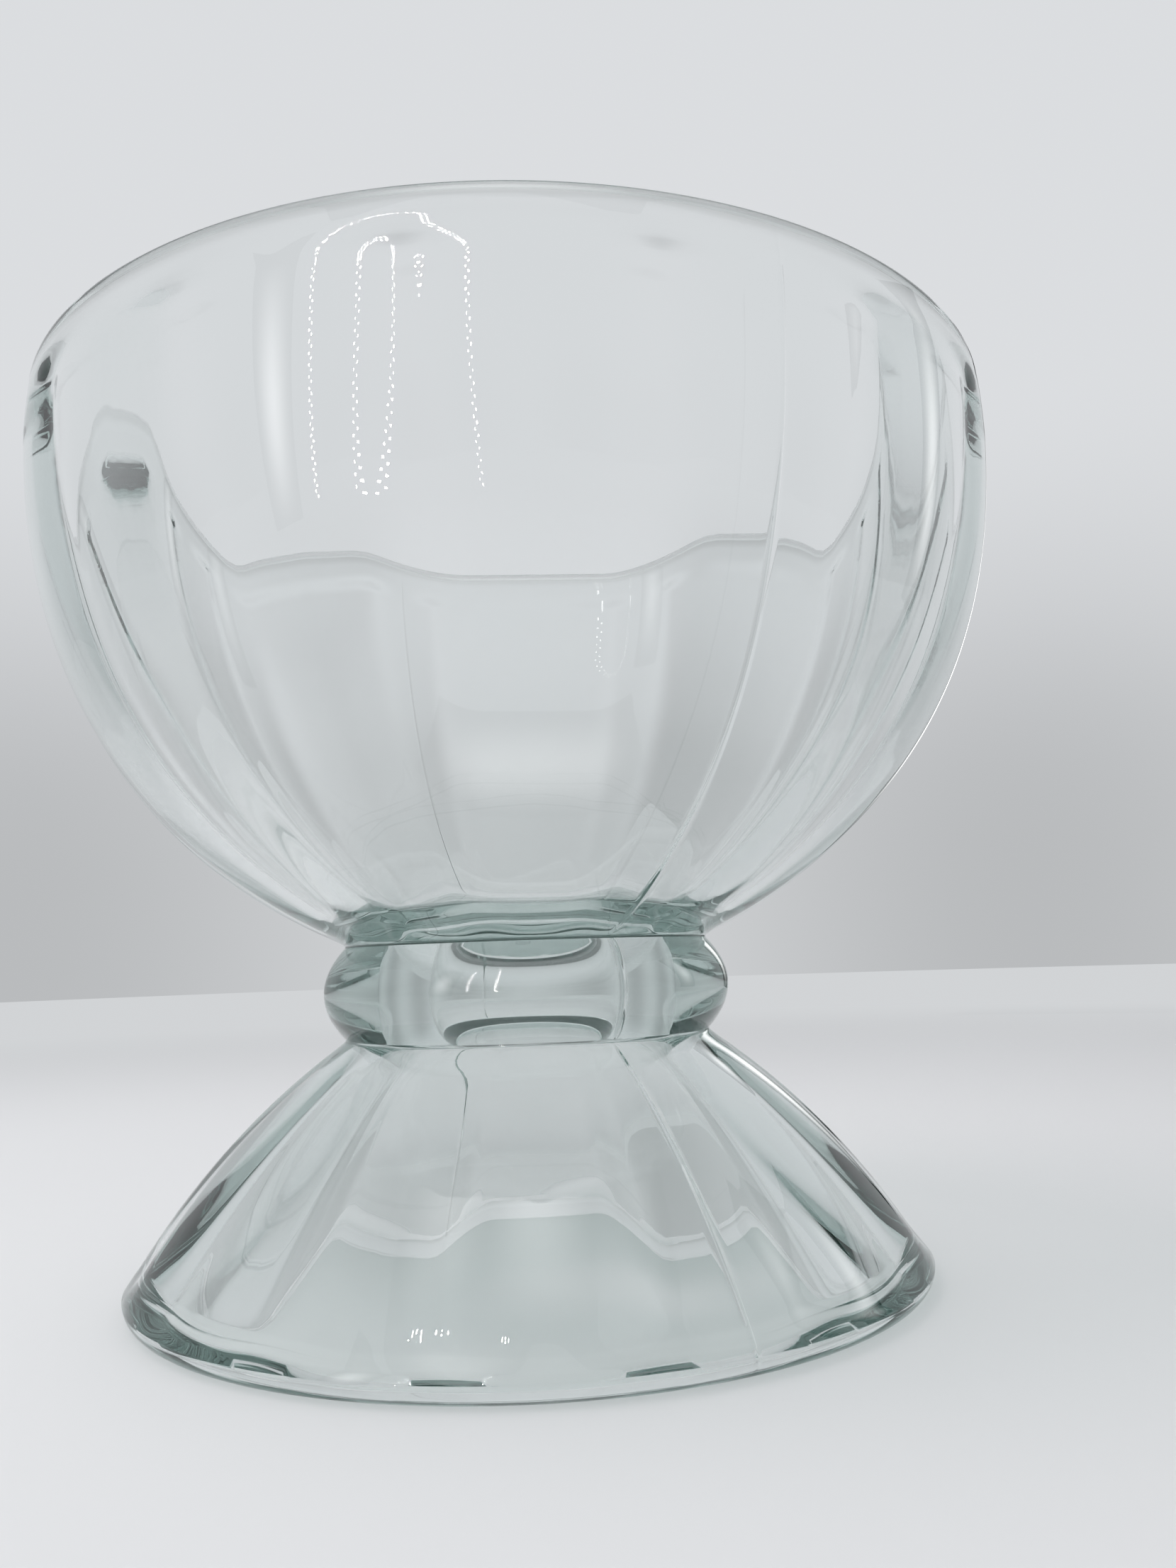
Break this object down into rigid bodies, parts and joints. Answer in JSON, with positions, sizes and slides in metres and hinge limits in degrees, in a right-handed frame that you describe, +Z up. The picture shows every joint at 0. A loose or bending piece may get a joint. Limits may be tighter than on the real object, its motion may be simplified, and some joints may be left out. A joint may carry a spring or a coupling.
{
  "type": "footed dessert bowl",
  "caption": "Round lobed dessert bowl of clear pressed glass on a hollow flared foot, joined by a beaded ring at the neck.",
  "frame": {"origin": "centre of the foot's resting face", "axes": "+Z up along the bowl's axis, -Y towards the side that the picture shows"},
  "size_m": [0.1016, 0.1016, 0.09],
  "materials": {
    "clear_glass": "smooth fire-polished clear glass, faintly grey-green where it is thick"
  },
  "bodies": {
    "root": {"bowl": "clear_glass", "neck_ring": "clear_glass", "foot": "clear_glass"}
  },
  "joints": []
}
